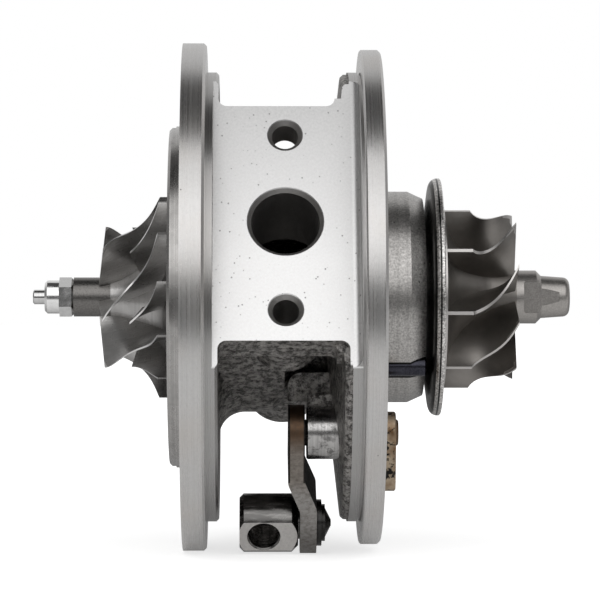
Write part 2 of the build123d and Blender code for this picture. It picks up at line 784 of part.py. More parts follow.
export_step(shaft_nut.part, "parts/shaft_nut.step")


def around(point, elevation):
    """A point of the side view, given as (x, radius), turned to an elevation seen from the drain side."""
    lift = radians(elevation)
    return Vector(point.X, -point.Y * cos(lift), point.Y * sin(lift))


def blade_plane(hub_point, tip_point, elevation):
    """The plane of one blade section: from hub to tip, and round the rotor."""
    foot = around(hub_point, elevation)
    span = around(tip_point, elevation) - foot
    sideways = Vector(0, sin(radians(elevation)), cos(radians(elevation)))
    return Plane(origin=foot, x_dir=span, z_dir=span.cross(sideways))


# Compressor wheel: six full and six splitter blades, swept back at the rim
comp_rim_front = comp_wheel_back - comp_rim_thickness
comp_hub_path = Spline(
    (comp_blade_inlet, comp_inlet_hub_radius),
    (comp_shroud_start, (comp_inlet_hub_radius + comp_wheel_radius) / 4),
    (comp_rim_front - 2 * comp_rim_thickness, comp_wheel_radius / 2),
    (comp_rim_front, comp_wheel_radius),
    tangents=((1, 0), (0.1, 1)),
)
comp_tip_path = Spline(
    (comp_blade_inlet + comp_inlet_sweep, comp_inlet_radius),
    (comp_shroud_start, comp_inlet_radius),
    (comp_rim_front - comp_exit_width, comp_wheel_radius),
    tangents=((1, 0), (0.35, 1)),
)


def comp_blade(start):
    """One compressor blade whose leading edge lies the given share of the way along the passage."""
    with BuildPart(mode=Mode.PRIVATE) as blade:
        for step in range(6):
            way = start + (1 - start) * step / 5
            elevation = comp_first_blade + comp_wrap * (1.55 * way - 0.85 * way**2 + 0.3 * way**3)
            foot = comp_hub_path @ way
            tip = comp_tip_path @ way
            reach = (tip - foot).length
            root_thickness = comp_tip_thickness + (comp_root_thickness - comp_tip_thickness) * min(3 - 3 * way, 1)
            with BuildSketch(blade_plane(foot, tip, elevation)):
                with BuildLine():
                    Polyline(
                        (-comp_blade_root, -root_thickness / 2),
                        (reach, -comp_tip_thickness / 2),
                        (reach, comp_tip_thickness / 2),
                        (-comp_blade_root, root_thickness / 2),
                        close=True,
                    )
                make_face()
        loft()
    return blade.part


full_blade = comp_blade(0)
splitter_blade = comp_blade(comp_splitter_start)
blade_step = 360 / comp_blade_pairs
with BuildPart() as compressor_wheel:
    with BuildSketch(Plane.XZ):
        with BuildLine():
            add(comp_hub_path)
            Polyline(
                (comp_rim_front, comp_wheel_radius),
                (comp_wheel_back, comp_wheel_radius),
                (comp_wheel_back, seal_hub_radius - open_clearance),
                (flinger_start, seal_hub_radius - open_clearance),
                (flinger_start, stub_radius),
                (comp_nose_face, stub_radius),
                (comp_nose_face, comp_inlet_hub_radius),
                (comp_blade_inlet, comp_inlet_hub_radius),
            )
        make_face()
    revolve(axis=Axis.X)
    for turn in range(comp_blade_pairs):
        add(full_blade.rotate(Axis.X, turn * blade_step))
        add(splitter_blade.rotate(Axis.X, (turn + 0.5) * blade_step))
    with BuildSketch(across(comp_nose_face)):
        Circle(stub_radius)
    extrude(amount=flinger_start - comp_nose_face, mode=Mode.SUBTRACT)
compressor_wheel.part.label = "compressor_wheel"
export_step(compressor_wheel.part, "parts/compressor_wheel.step")

# Turbine wheel: nine blades, seal hub with its ring groove, nose and casting stub
turb_rim_front = turb_wheel_back + turb_rim_thickness
turb_nose_end = turb_blade_exit + turb_rim_thickness / 2 + turb_nose_length
turb_middle = (turb_rim_front + turb_blade_exit) / 2
turb_hub_path = Spline(
    (turb_rim_front, turb_wheel_radius),
    (turb_rim_front + turb_inlet_width / 2, turb_wheel_radius * 0.62),
    (turb_middle, turb_hub_exit_radius + turb_root_thickness),
    (turb_blade_exit, turb_hub_exit_radius),
    tangents=((0.12, -1), (1, -0.05)),
)
turb_tip_path = Spline(
    (turb_rim_front + turb_inlet_width, turb_wheel_radius),
    ((turb_rim_front + turb_inlet_width + turb_blade_exit) / 2 - turb_rim_thickness, turb_waist_radius),
    (turb_blade_exit, turb_exit_radius),
    tangents=((0.6, -1), (1, 0.1)),
)
with BuildPart() as turbine_blade:
    for step in range(6):
        way = step / 5
        elevation = turb_first_blade + turb_wrap * way**2.2
        foot = turb_hub_path @ way
        tip = turb_tip_path @ way
        reach = (tip - foot).length
        root_thickness = turb_tip_thickness + (turb_root_thickness - turb_tip_thickness) * min(3 * way, 1)
        with BuildSketch(blade_plane(foot, tip, elevation)):
            with BuildLine():
                Polyline(
                    (-turb_rim_thickness / 2, -root_thickness / 2),
                    (reach, -turb_tip_thickness / 2),
                    (reach, turb_tip_thickness / 2),
                    (-turb_rim_thickness / 2, root_thickness / 2),
                    close=True,
                )
            make_face()
    loft()

with BuildPart() as turbine_wheel:
    with BuildSketch(Plane.XZ):
        with BuildLine():
            add(turb_hub_path)
            Polyline(
                (turb_blade_exit, turb_hub_exit_radius),
                (turb_nose_end - turb_nose_length, turb_nose_radius),
                (turb_nose_end - turb_nose_chamfer, turb_nose_radius),
                (turb_nose_end, turb_nose_radius - turb_nose_chamfer),
                (turb_nose_end, stub_base_radius),
                (turb_nose_end + stub_length, stub_end_radius),
                (turb_nose_end + stub_length, 0),
                (seal_hub_start, 0),
                (seal_hub_start, seal_hub_radius),
                (turb_ring_start - side_clearance, seal_hub_radius),
                (turb_ring_start - side_clearance, ring_floor),
                (turb_ring_start + ring_width + side_clearance, ring_floor),
                (turb_ring_start + ring_width + side_clearance, seal_hub_radius),
                (turb_wheel_back, seal_hub_radius),
                (turb_wheel_back, turb_wheel_radius),
                (turb_rim_front, turb_wheel_radius),
            )
        make_face()
    revolve(axis=Axis.X)
    for turn in range(turb_blade_count):
        add(turbine_blade.part.rotate(Axis.X, turn * 360 / turb_blade_count))
    fillet(turbine_wheel.edges().group_by(Axis.X)[-1], stub_end_radius / 3)

    # Balance cut milled into the nose, open to the front
    with BuildSketch(Plane.XZ.offset(turb_nose_radius - balance_cut_depth)) as balance_cut:
        with Locations((turb_nose_end, 0)):
            Rectangle(2 * balance_cut_length, balance_cut_width)
        fillet(balance_cut.vertices().group_by(Axis.X)[0], balance_cut_depth / 2)
    extrude(amount=balance_cut_depth, mode=Mode.SUBTRACT)
turbine_wheel.part.label = "turbine_wheel"
export_step(turbine_wheel.part, "parts/turbine_wheel.step")


# Lever bush, pressed through the turbine flange
bush_end = turb_face + lever_bush_stand_out
with BuildPart() as lever_bush:
    with BuildSketch(across(lever_bush_start)):
        with Locations((spindle_y, spindle_z)):
            Circle(lever_bush_radius)
            Circle(spindle_radius + running_clearance, mode=Mode.SUBTRACT)
    extrude(amount=bush_end - lever_bush_start)
    chamfer(lever_bush.edges().group_by(SortBy.LENGTH)[-1], rim_chamfer / 2)
lever_bush.part.label = "lever_bush"
export_step(lever_bush.part, "parts/lever_bush.step")

# Lever spindle, through the bush from the lever arm to the inner crank
crank_start = turb_face + crank_gap
spindle_end = crank_start + crank_thickness + rim_chamfer
with BuildPart() as lever_spindle:
    with BuildSketch(across(lever_start)):
        with Locations((spindle_y, spindle_z)):
            Circle(spindle_radius)
    extrude(amount=spindle_end - lever_start)
    chamfer(lever_spindle.edges().filter_by(GeomType.CIRCLE), rim_chamfer / 2)
lever_spindle.part.label = "lever_spindle"
export_step(lever_spindle.part, "parts/lever_spindle.step")

# Lever arm: joggled flat bar with an eye at each end
lever_down = Vector(0, sin(radians(lever_angle)), -cos(radians(lever_angle)))
lever_wide = Vector(0, cos(radians(lever_angle)), sin(radians(lever_angle)))
lever_foot = Vector(lever_start, spindle_y, spindle_z)
bend_shift = lever_joggle * lever_thickness / (joggle_end - joggle_start) / 2
with BuildPart() as lever_arm:
    with BuildSketch(Plane(origin=lever_foot, x_dir=lever_down, z_dir=(1, 0, 0))):
        Circle(lever_upper_radius)
        with Locations((lever_length, 0)):
            Circle(lever_lower_radius)
        make_hull()
    extrude(amount=lever_thickness + lever_joggle)
    with BuildSketch(Plane(origin=lever_foot, x_dir=lever_down, z_dir=lever_wide)) as side:
        with BuildLine():
            Polyline(
                (-2 * lever_upper_radius, 0),
                (joggle_start, 0),
                (joggle_end, -lever_joggle),
                (lever_length + 2 * lever_lower_radius, -lever_joggle),
                (lever_length + 2 * lever_lower_radius, -lever_joggle - lever_thickness),
                (joggle_end - bend_shift, -lever_joggle - lever_thickness),
                (joggle_start - bend_shift, -lever_thickness),
                (-2 * lever_upper_radius, -lever_thickness),
                close=True,
            )
        make_face()
        fillet(corner(side, joggle_start, 0), lever_bend)
        fillet(corner(side, joggle_end, -lever_joggle), lever_bend)
        fillet(corner(side, joggle_end - bend_shift, -lever_joggle - lever_thickness), lever_bend)
        fillet(corner(side, joggle_start - bend_shift, -lever_thickness), lever_bend)
    extrude(amount=2 * lever_lower_radius, both=True, mode=Mode.INTERSECT)
    with BuildSketch(Plane(origin=lever_foot, x_dir=lever_down, z_dir=(1, 0, 0))):
        Circle(spindle_radius)
        with Locations((lever_length, 0)):
            Circle(swivel_pin_radius + running_clearance)
    extrude(amount=lever_thickness + lever_joggle, mode=Mode.SUBTRACT)
lever_arm.part.label = "lever_arm"
export_step(lever_arm.part, "parts/lever_arm.step")

# Inner crank on the turbine face, with the finger that moves the vane ring
crank_down = Vector(0, sin(radians(crank_angle)), -cos(radians(crank_angle)))
crank_foot = Vector(crank_start, spindle_y, spindle_z)
with BuildPart() as inner_crank:
    with BuildSketch(Plane(origin=crank_foot, x_dir=crank_down, z_dir=(1, 0, 0))):
        Circle(crank_eye_radius)
        with Locations((crank_length, 0)):
            Circle(crank_finger_radius)
        make_hull()
        Circle(spindle_radius, mode=Mode.SUBTRACT)
    extrude(amount=crank_thickness)
    chamfer(inner_crank.faces().sort_by(Axis.X)[-1].outer_wire().edges(), rim_chamfer / 2)
inner_crank.part.label = "inner_crank"
export_step(inner_crank.part, "parts/inner_crank.step")

# Swivel block: the actuator rod goes through its cross hole
swivel_centre = lever_foot + lever_down * lever_length
eye_start = lever_start + lever_joggle
swivel_end = eye_start - side_clearance - swivel_shoulder_length
swivel_start = swivel_end - swivel_length
flat_normal = Vector(0, -cos(radians(swivel_flat_angle)), -sin(radians(swivel_flat_angle)))


def swivel_plane(x):
    """A plane square to the swivel axis at x."""
    return Plane(origin=(x, swivel_centre.Y, swivel_centre.Z), x_dir=(0, 1, 0), z_dir=(1, 0, 0))


with BuildPart() as swivel_block:
    with BuildSketch(swivel_plane(swivel_start)):
        Circle(swivel_radius)
    extrude(amount=swivel_length)
    chamfer(swivel_block.edges().group_by(Axis.X)[0], swivel_end_chamfer)
    chamfer(swivel_block.edges().group_by(Axis.X)[-1], swivel_chamfer)
    with BuildSketch(swivel_plane(swivel_end)):
        Circle(swivel_shoulder_radius)
    extrude(amount=swivel_shoulder_length)
    flat_origin = Vector(swivel_start + swivel_hole_inset, swivel_centre.Y, swivel_centre.Z)
    with BuildSketch(Plane(origin=flat_origin, x_dir=(1, 0, 0), z_dir=flat_normal)):
        Rectangle(4 * swivel_length, 2 * swivel_radius)
    extrude(amount=swivel_flat, both=True, mode=Mode.INTERSECT)
    with BuildSketch(Plane(origin=flat_origin, x_dir=(1, 0, 0), z_dir=flat_normal)):
        Circle(swivel_hole_radius)
    extrude(amount=swivel_radius, both=True, mode=Mode.SUBTRACT)
    for side_sign in (1, -1):
        with BuildSketch(
            Plane(
                origin=flat_origin + flat_normal * swivel_flat * side_sign,
                x_dir=(1, 0, 0),
                z_dir=flat_normal * side_sign,
            )
        ):
            Circle(swivel_hole_radius + swivel_hole_chamfer)
        extrude(amount=-swivel_hole_chamfer, taper=45, mode=Mode.SUBTRACT)
    with BuildSketch(swivel_plane(swivel_end + swivel_shoulder_length)):
        Circle(swivel_pin_radius)
    extrude(amount=-swivel_pin_depth - swivel_shoulder_length, mode=Mode.SUBTRACT)
swivel_block.part.label = "swivel_block"
export_step(swivel_block.part, "parts/swivel_block.step")

# Washers behind the lever eye
eye_end = eye_start + lever_thickness + side_clearance
with BuildPart() as swivel_washer:
    with BuildSketch(swivel_plane(eye_end)):
        Circle(washer_radius)
        Circle(swivel_pin_radius, mode=Mode.SUBTRACT)
    extrude(amount=washer_thickness)
swivel_washer.part.label = "swivel_washer"
export_step(swivel_washer.part, "parts/swivel_washer.step")

with BuildPart() as swivel_lock_washer:
    with BuildSketch(swivel_plane(eye_end + washer_thickness)):
        Circle(small_washer_radius)
        Circle(swivel_pin_radius, mode=Mode.SUBTRACT)
    extrude(amount=small_washer_thickness)
swivel_lock_washer.part.label = "swivel_lock_washer"
export_step(swivel_lock_washer.part, "parts/swivel_lock_washer.step")

# Swivel pin: pressed into the block, riveted over the washers
head_start = eye_end + washer_thickness + small_washer_thickness
with BuildPart() as swivel_pin:
    with BuildSketch(swivel_plane(swivel_end - swivel_pin_depth)):
        Circle(swivel_pin_radius)
    extrude(amount=head_start - swivel_end + swivel_pin_depth)
    with BuildSketch(swivel_plane(head_start)):
        Circle(rivet_head_radius)
    with BuildSketch(swivel_plane(head_start + rivet_head_height)):
        Circle(rivet_head_radius / 5)
    loft()
swivel_pin.part.label = "swivel_pin"
export_step(swivel_pin.part, "parts/swivel_pin.step")
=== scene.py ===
import bpy
from math import cos, sin, pi, radians
from mathutils import Matrix, Vector

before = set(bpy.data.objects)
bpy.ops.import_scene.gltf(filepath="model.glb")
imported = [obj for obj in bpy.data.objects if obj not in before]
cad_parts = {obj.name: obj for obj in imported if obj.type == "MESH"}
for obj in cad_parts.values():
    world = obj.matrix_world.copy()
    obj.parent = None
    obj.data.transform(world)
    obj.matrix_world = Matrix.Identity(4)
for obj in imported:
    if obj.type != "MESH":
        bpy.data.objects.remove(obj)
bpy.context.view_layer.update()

# Metres, in the row frame: X runs from compressor to turbine, the camera looks along +Y, Z is up.
HAIR = 0.0001

# Bearing housing: places along the rotor axis, and radii round it
COMP_INNER = 0.0055
COMP_COLLAR_END = 0.0072
COMP_WEB_END = 0.0084
TURB_COLLAR_START = 0.0383
TURB_INNER = 0.0412
TURB_FACE = 0.0459
COLLAR_RADIUS = 0.0527
COMP_COLLAR_DEPTH = 0.003
TURB_GROOVE = 0.0007
MILLED_END = TURB_INNER - 0.0006
FACE_EDGE = 0.0005
NOSE_RADIUS = 0.0248

# Drain pad, with its bore and its two screw holes
PAD_TILT = radians(26.5)
PAD_DISTANCE = 0.0382
PAD_CORNER = 0.002
PAD_SHADE_START = -0.010
PAD_SHADE_END = 0.030
BORE_END = 0.009
DRAIN_X = 0.0236
DRAIN_RADIUS = 0.00775
DRAIN_CHAMFER = 0.0012
DRAIN_BOLT_REACH = 0.0222
DRAIN_BOLT_RADIUS = 0.003
DRAIN_BOLT_CHAMFER = 0.0013

# Locating pin, let into the nose: its place as (Y, Z)
PIN_RADIUS = 0.00225
PIN_STAND_OUT = 0.0009
PIN_ANGLE = radians(43.0)
PIN_REACH = NOSE_RADIUS + PIN_STAND_OUT - PIN_RADIUS
PIN = (-PIN_REACH * cos(PIN_ANGLE), -PIN_REACH * sin(PIN_ANGLE))
# Painted shadow round the locating pin, standing in for the shade of its groove: its width round the pin, and
# where along X it begins
PIN_SHADOW_WIDTH = 0.0005
PIN_SHADOW_START = TURB_FACE - 0.0008

# Heat shield
SHIELD_RIM_RADIUS = 0.0268
SHIELD_BEAD_START = 0.0583
SHIELD_BEAD_END = 0.0590
SHIELD_LIP_START = 0.0594

# Compressor wheel and its nut
NUT_COLLAR_START = -0.0262
COMP_WHEEL_FRONT = -0.0300
COMP_NOSE_END = -0.0170
SPLITTER_END = -0.0085
COMP_BLADE_END = -0.0050
COMP_HUB_RADIUS = 0.0049
COMP_TIP_RADIUS = 0.0164
COMP_RIM_RADIUS = 0.0237

# Turbine wheel
TURB_RIM_START = 0.0597
TURB_BLADE_START = 0.0617
TURB_BLADE_END = 0.0770
TURB_BLADE_LIMIT = 0.0779
TURB_NOSE_START = 0.0780
TURB_BLADE_REACH = 0.0800
TURB_HUB_RADIUS = 0.0066
TURB_TIP_RADIUS = 0.0186
TURB_RIM_RADIUS = 0.0213

# Lever, its bush and the swivel: places as (Y, Z)
SPINDLE = (-0.022, -0.031)
LEVER_LEFT_DARK_EDGE = 0.02475
LEVER_RIGHT_DARK_EDGE = 0.0278
LEVER_RIGHT_LIMIT = 0.030
LEVER_DARK_EDGE_END_Z = -0.0425
LEVER_BROWN_Z = (-0.037, -0.031)
LEVER_GREY_Z = (-0.047, -0.041)
LEVER_FOOT_Z = (-0.058, -0.050)
SWIVEL = (-0.01115, -0.052295)
SWIVEL_FLAT_ANGLE = radians(33.0)
SWIVEL_FLAT_DISTANCE = 0.0054
SWIVEL_HOLE_LIMIT = 0.0053
SWIVEL_HOLE_REACH = 0.0050

# Studio
FLOOR_Z = -0.0596
FLOOR_REACH = 6.0
SHEET_FRONT_Y = (-0.26, -0.17)
SHEET_BACK_Y = (-0.03, 0.10)
GLOW_REACH = (0.1, 0.6)
MIDDLE = (0.0236, 0.0, 0.0)


class Nodes:
    """Short names for the shader nodes that the finishes and the room are built from."""

    def __init__(self, tree):
        self.tree = tree
        self.tree.nodes.clear()
        self.coordinates = self.tree.nodes.new("ShaderNodeTexCoord")

    def put(self, socket, value):
        if isinstance(value, bpy.types.NodeSocket):
            self.tree.links.new(value, socket)
        else:
            socket.default_value = value

    def math(self, operation, first, second=0.0):
        node = self.tree.nodes.new("ShaderNodeMath")
        node.operation = operation
        self.put(node.inputs[0], first)
        self.put(node.inputs[1], second)
        return node.outputs[0]

    def plus(self, first, second):
        return self.math("ADD", first, second)

    def less(self, first, second):
        return self.math("SUBTRACT", first, second)

    def size(self, number):
        return self.math("ABSOLUTE", number)

    def times(self, *factors):
        result = factors[0]
        for factor in factors[1:]:
            result = self.math("MULTIPLY", result, factor)
        return result

    def inverse(self, share):
        return self.less(1.0, share)

    def length(self, first, second):
        """The long side of a right triangle."""
        return self.math("SQRT", self.plus(self.times(first, first), self.times(second, second)))

    def turned(self, first, second, angle):
        """How far a place (first, second) lies in the direction of an angle."""
        return self.plus(self.times(first, cos(angle)), self.times(second, sin(angle)))

    def axes(self, vector):
        node = self.tree.nodes.new("ShaderNodeSeparateXYZ")
        self.put(node.inputs[0], vector)
        return node.outputs[0], node.outputs[1], node.outputs[2]

    def point(self, x, y, z):
        node = self.tree.nodes.new("ShaderNodeCombineXYZ")
        self.put(node.inputs[0], x)
        self.put(node.inputs[1], y)
        self.put(node.inputs[2], z)
        return node.outputs[0]

    def ramp(self, value, low, high, low_out=0.0, high_out=1.0, smooth=False):
        node = self.tree.nodes.new("ShaderNodeMapRange")
        node.clamp = True
        node.interpolation_type = "SMOOTHSTEP" if smooth else "LINEAR"
        self.put(node.inputs["Value"], value)
        node.inputs["From Min"].default_value = low
        node.inputs["From Max"].default_value = high
        node.inputs["To Min"].default_value = low_out
        node.inputs["To Max"].default_value = high_out
        return node.outputs["Result"]

    def blend(self, share, first, second):
        """First where share is 0, second where it is 1, for colours."""
        node = self.tree.nodes.new("ShaderNodeMix")
        node.data_type = "RGBA"
        self.put(node.inputs[0], share)
        self.put(node.inputs[6], first)
        self.put(node.inputs[7], second)
        return node.outputs[2]

    def mottled(self, pattern, dark, light, low=0.3, high=0.7):
        """Dark where the pattern is under low, light where it is over high."""
        return self.blend(self.ramp(pattern, low, high), dark, light)

    def lerp(self, share, first, second):
        """First where share is 0, second where it is 1, for numbers."""
        node = self.tree.nodes.new("ShaderNodeMix")
        self.put(node.inputs[0], share)
        self.put(node.inputs[2], first)
        self.put(node.inputs[3], second)
        return node.outputs[0]

    def between(self, value, low, high):
        return self.times(self.above(value, low), self.below(value, high))

    def above(self, value, limit):
        return self.math("GREATER_THAN", value, limit)

    def below(self, value, limit):
        return self.math("LESS_THAN", value, limit)

    def either(self, *masks):
        result = masks[0]
        for mask in masks[1:]:
            result = self.math("MAXIMUM", result, mask)
        return result


class Finish(Nodes):
    """One material, built up from noise, masks and bumps in the object's own coordinates."""

    def __init__(self, name):
        self.material = bpy.data.materials.new(name)
        self.material.use_nodes = True
        super().__init__(self.material.node_tree)
        output = self.tree.nodes.new("ShaderNodeOutputMaterial")
        self.shader = self.tree.nodes.new("ShaderNodeBsdfPrincipled")
        self.tree.links.new(self.shader.outputs["BSDF"], output.inputs["Surface"])
        self.place = self.coordinates.outputs["Object"]
        self.x, self.y, self.z = self.axes(self.place)
        self.last_bump = None

    def noise(self, scale, detail=3.0, roughness=0.5, place=None):
        node = self.tree.nodes.new("ShaderNodeTexNoise")
        self.put(node.inputs["Vector"], place or self.place)
        node.inputs["Scale"].default_value = scale
        node.inputs["Detail"].default_value = detail
        node.inputs["Roughness"].default_value = roughness
        return node.outputs["Fac"]

    def cells(self, scale):
        node = self.tree.nodes.new("ShaderNodeTexVoronoi")
        self.put(node.inputs["Vector"], self.place)
        node.inputs["Scale"].default_value = scale
        return node.outputs["Distance"]

    def facing(self):
        """The surface's own direction, in the object's axes."""
        return self.axes(self.coordinates.outputs["Normal"])

    def radius(self, centre_y=0.0, centre_z=0.0):
        """Distance from an axis along X."""
        return self.length(self.less(self.y, centre_y), self.less(self.z, centre_z))

    def stretched(self, scale_x, scale_y, scale_z):
        """Noise that is drawn out along the axes with a small scale."""
        x = self.times(self.x, scale_x)
        y = self.times(self.y, scale_y)
        z = self.times(self.z, scale_z)
        return self.noise(1.0, 3.0, 0.6, self.point(x, y, z))

    def lines(self, fineness, centre=(0.0, 0.0), wander=0.0):
        """Tool marks round an axis along X: they change along X and with the radius, and wander a little."""
        radius = self.radius(*centre)
        x = self.x
        if wander:
            sway = self.times(self.noise(60.0, 2.0), wander)
            x = self.plus(x, sway)
            radius = self.plus(radius, sway)
        marks = self.point(self.times(x, fineness), self.times(radius, fineness), 0.0)
        return self.noise(1.0, 2.0, 0.6, marks)

    def bump(self, height, strength, distance):
        node = self.tree.nodes.new("ShaderNodeBump")
        self.put(node.inputs["Height"], height)
        self.put(node.inputs["Strength"], strength)
        node.inputs["Distance"].default_value = distance
        if self.last_bump:
            self.tree.links.new(self.last_bump, node.inputs["Normal"])
        self.last_bump = node.outputs["Normal"]

    def done(self, colour, roughness, metallic=1.0):
        self.put(self.shader.inputs["Base Color"], colour)
        self.put(self.shader.inputs["Roughness"], roughness)
        self.put(self.shader.inputs["Metallic"], metallic)
        if self.last_bump:
            self.tree.links.new(self.last_bump, self.shader.inputs["Normal"])
        return self.material


def grey(level, warmth=0.0):
    """A metal grey; warmth takes a share of the blue and half that of the green."""
    return (level, level * (1 - warmth / 2), level * (1 - warmth), 1)


def cast_surface(s):
    """Sand casting: dark and pale grains of sand, soft lumps and fine sparkle."""
    lumps = s.noise(420.0, 3.0, 0.6)
    grain = s.noise(1700.0, 3.0, 0.65)
    sand = s.noise(620.0, 4.0, 0.8)
    sparkle = s.ramp(s.noise(2600.0, 2.0, 0.7), 0.57, 0.70)
    colour = s.mottled(sand, grey(0.080, 0.10), grey(0.50, 0.08), 0.42, 0.58)
    colour = s.blend(s.ramp(lumps, 0.45, 0.7, 0.0, 0.4), colour, grey(0.09, 0.10))
    colour = s.blend(s.times(sparkle, 0.6), colour, grey(0.48, 0.06))
    return colour, lumps, grain


def turned_surface(s):
    """Brushed rims: soft streaks along the cut, a warm cloud here and there and a few dark specks."""
    fine = s.lines(3200.0, wander=0.0002)
    broad = s.lines(700.0, wander=0.0004)
    clouds = s.noise(70.0, 3.0, 0.5)
    grain = s.noise(1300.0, 3.0, 0.7)
    specks = s.ramp(s.cells(420.0), 0.05, 0.09, 1.0, 0.0)
    specks = s.times(specks, s.ramp(s.noise(180.0, 2.0), 0.60, 0.66))
    colour = s.mottled(fine, grey(0.55, 0.03), grey(0.62, 0.03))
    colour = s.blend(s.ramp(broad, 0.35, 0.65, 0.0, 0.16), colour, grey(0.47, 0.04))
    colour = s.blend(s.ramp(grain, 0.45, 0.65, 0.0, 0.22), colour, grey(0.44, 0.04))
    colour = s.blend(s.ramp(clouds, 0.45, 0.7, 0.0, 0.35), colour, grey(0.55, 0.14))
    colour = s.blend(specks, colour, grey(0.16, 0.05))
    return colour, fine


def pad_surface(s, up_pad, grain):
    """Milled pad: pale satin with tiny dark pits, and painted shade that makes it greyer towards its top."""
    pits = s.ramp(s.cells(620.0), 0.06, 0.16, 1.0, 0.0)
    pits = s.times(pits, s.ramp(s.noise(240.0, 2.0, 0.5), 0.44, 0.54))
    colour = s.mottled(grain, grey(0.80, 0.01), grey(0.92, 0.01))
    # Painted shade: the pad is painted greyer towards its top
    top = s.ramp(up_pad, PAD_SHADE_START, PAD_SHADE_END, 0.0, 0.80)
    colour = s.blend(top, colour, s.mottled(grain, grey(0.46, 0.01), grey(0.58, 0.01)))
    return s.blend(s.times(pits, 0.9), colour, grey(0.14, 0.05))


def nose_surface(s):
    """Turbine nose: satin, speckled, with darker turned bands."""
    speckle = s.noise(2300.0, 3.0, 0.7)
    colour = s.mottled(speckle, grey(0.30, 0.06), grey(0.60, 0.06), 0.35, 0.65)
    return s.blend(s.ramp(s.lines(900.0), 0.5, 0.7, 0.0, 0.4), colour, grey(0.22, 0.06))


def toward_pad(s, y, z):
    """The share of a place or a direction that points square out of the drain pad."""
    return s.turned(s.times(y, -1.0), z, PAD_TILT)


def turned_areas(s, radius):
    """Flange rims with their collars, and the flanges' end faces."""
    comp_ring = s.times(s.above(radius, COLLAR_RADIUS - COMP_COLLAR_DEPTH), s.below(s.x, COMP_WEB_END + HAIR))
    turb_ring = s.times(s.above(radius, COLLAR_RADIUS - HAIR), s.above(s.x, TURB_COLLAR_START + HAIR))
    groove = s.times(s.above(radius, COLLAR_RADIUS - TURB_GROOVE), s.above(s.x, TURB_INNER - TURB_GROOVE))
    end_faces = s.either(s.below(s.x, 2 * HAIR), s.above(s.x, TURB_FACE - FACE_EDGE))
    return s.either(comp_ring, s.either(turb_ring, groove), end_faces)


def pad_areas(s, radius, pad_height):
    """The pad's milled plane, and the rounded corner where the mill stopped at the turbine flange."""
    facing = s.facing()
    pad_facing = toward_pad(s, facing[1], facing[2])
    reached = s.above(pad_height, PAD_DISTANCE - 2 * HAIR)
    plane = s.times(reached, s.between(s.x, COMP_COLLAR_END - HAIR, MILLED_END))
    plane = s.times(plane, s.below(pad_height, PAD_DISTANCE + HAIR), s.above(pad_facing, 0.35))
    corner = s.times(reached, s.between(s.x, MILLED_END - PAD_CORNER, TURB_INNER - HAIR))
    corner = s.times(corner, s.below(radius, COLLAR_RADIUS - HAIR), s.above(pad_facing, -0.2))
    return s.either(plane, corner), corner


def hole_areas(s, up_pad, pad_height):
    """The walls of the drain and its two screw holes, and their chamfers."""
    along = s.less(s.x, DRAIN_X)
    from_drain = s.length(along, up_pad)
    from_bolt = s.length(along, s.less(s.size(up_pad), DRAIN_BOLT_REACH))
    sunk = s.between(pad_height, BORE_END, PAD_DISTANCE - 2 * HAIR)
    in_drain = s.below(from_drain, DRAIN_RADIUS + HAIR)
    in_bolt = s.below(from_bolt, DRAIN_BOLT_RADIUS + HAIR)
    drain_edge = s.between(from_drain, DRAIN_RADIUS + HAIR, DRAIN_RADIUS + DRAIN_CHAMFER)
    bolt_edge = s.between(from_bolt, DRAIN_BOLT_RADIUS + HAIR, DRAIN_BOLT_RADIUS + DRAIN_BOLT_CHAMFER)
    return s.times(s.either(in_drain, in_bolt, drain_edge, bolt_edge), sunk)


def housing_colour(s, cast_colour, turned_colour, areas, pad_colour):
    """Lays the colours of the housing's surfaces over each other, the casting first."""
    turned, collars, nose, on_pad, corner, holes, pin_shadow = areas
    # Painted shade: the collars beside the flanges are painted darker grey
    turned_colour = s.blend(s.times(collars, 0.6), turned_colour, grey(0.30, 0.03))
    colour = s.blend(turned, cast_colour, turned_colour)
    colour = s.blend(nose, colour, nose_surface(s))
    colour = s.blend(on_pad, colour, pad_colour)
    # Painted shade: the rounded corner where the mill stopped is painted darker grey than the pad
    colour = s.blend(s.times(corner, s.above(s.x, MILLED_END - HAIR)), colour, grey(0.45, 0.03))
    colour = s.blend(holes, colour, grey(0.34, 0.05))
    # Painted shadow: near black round the locating pin
    return s.blend(pin_shadow, colour, grey(0.015))


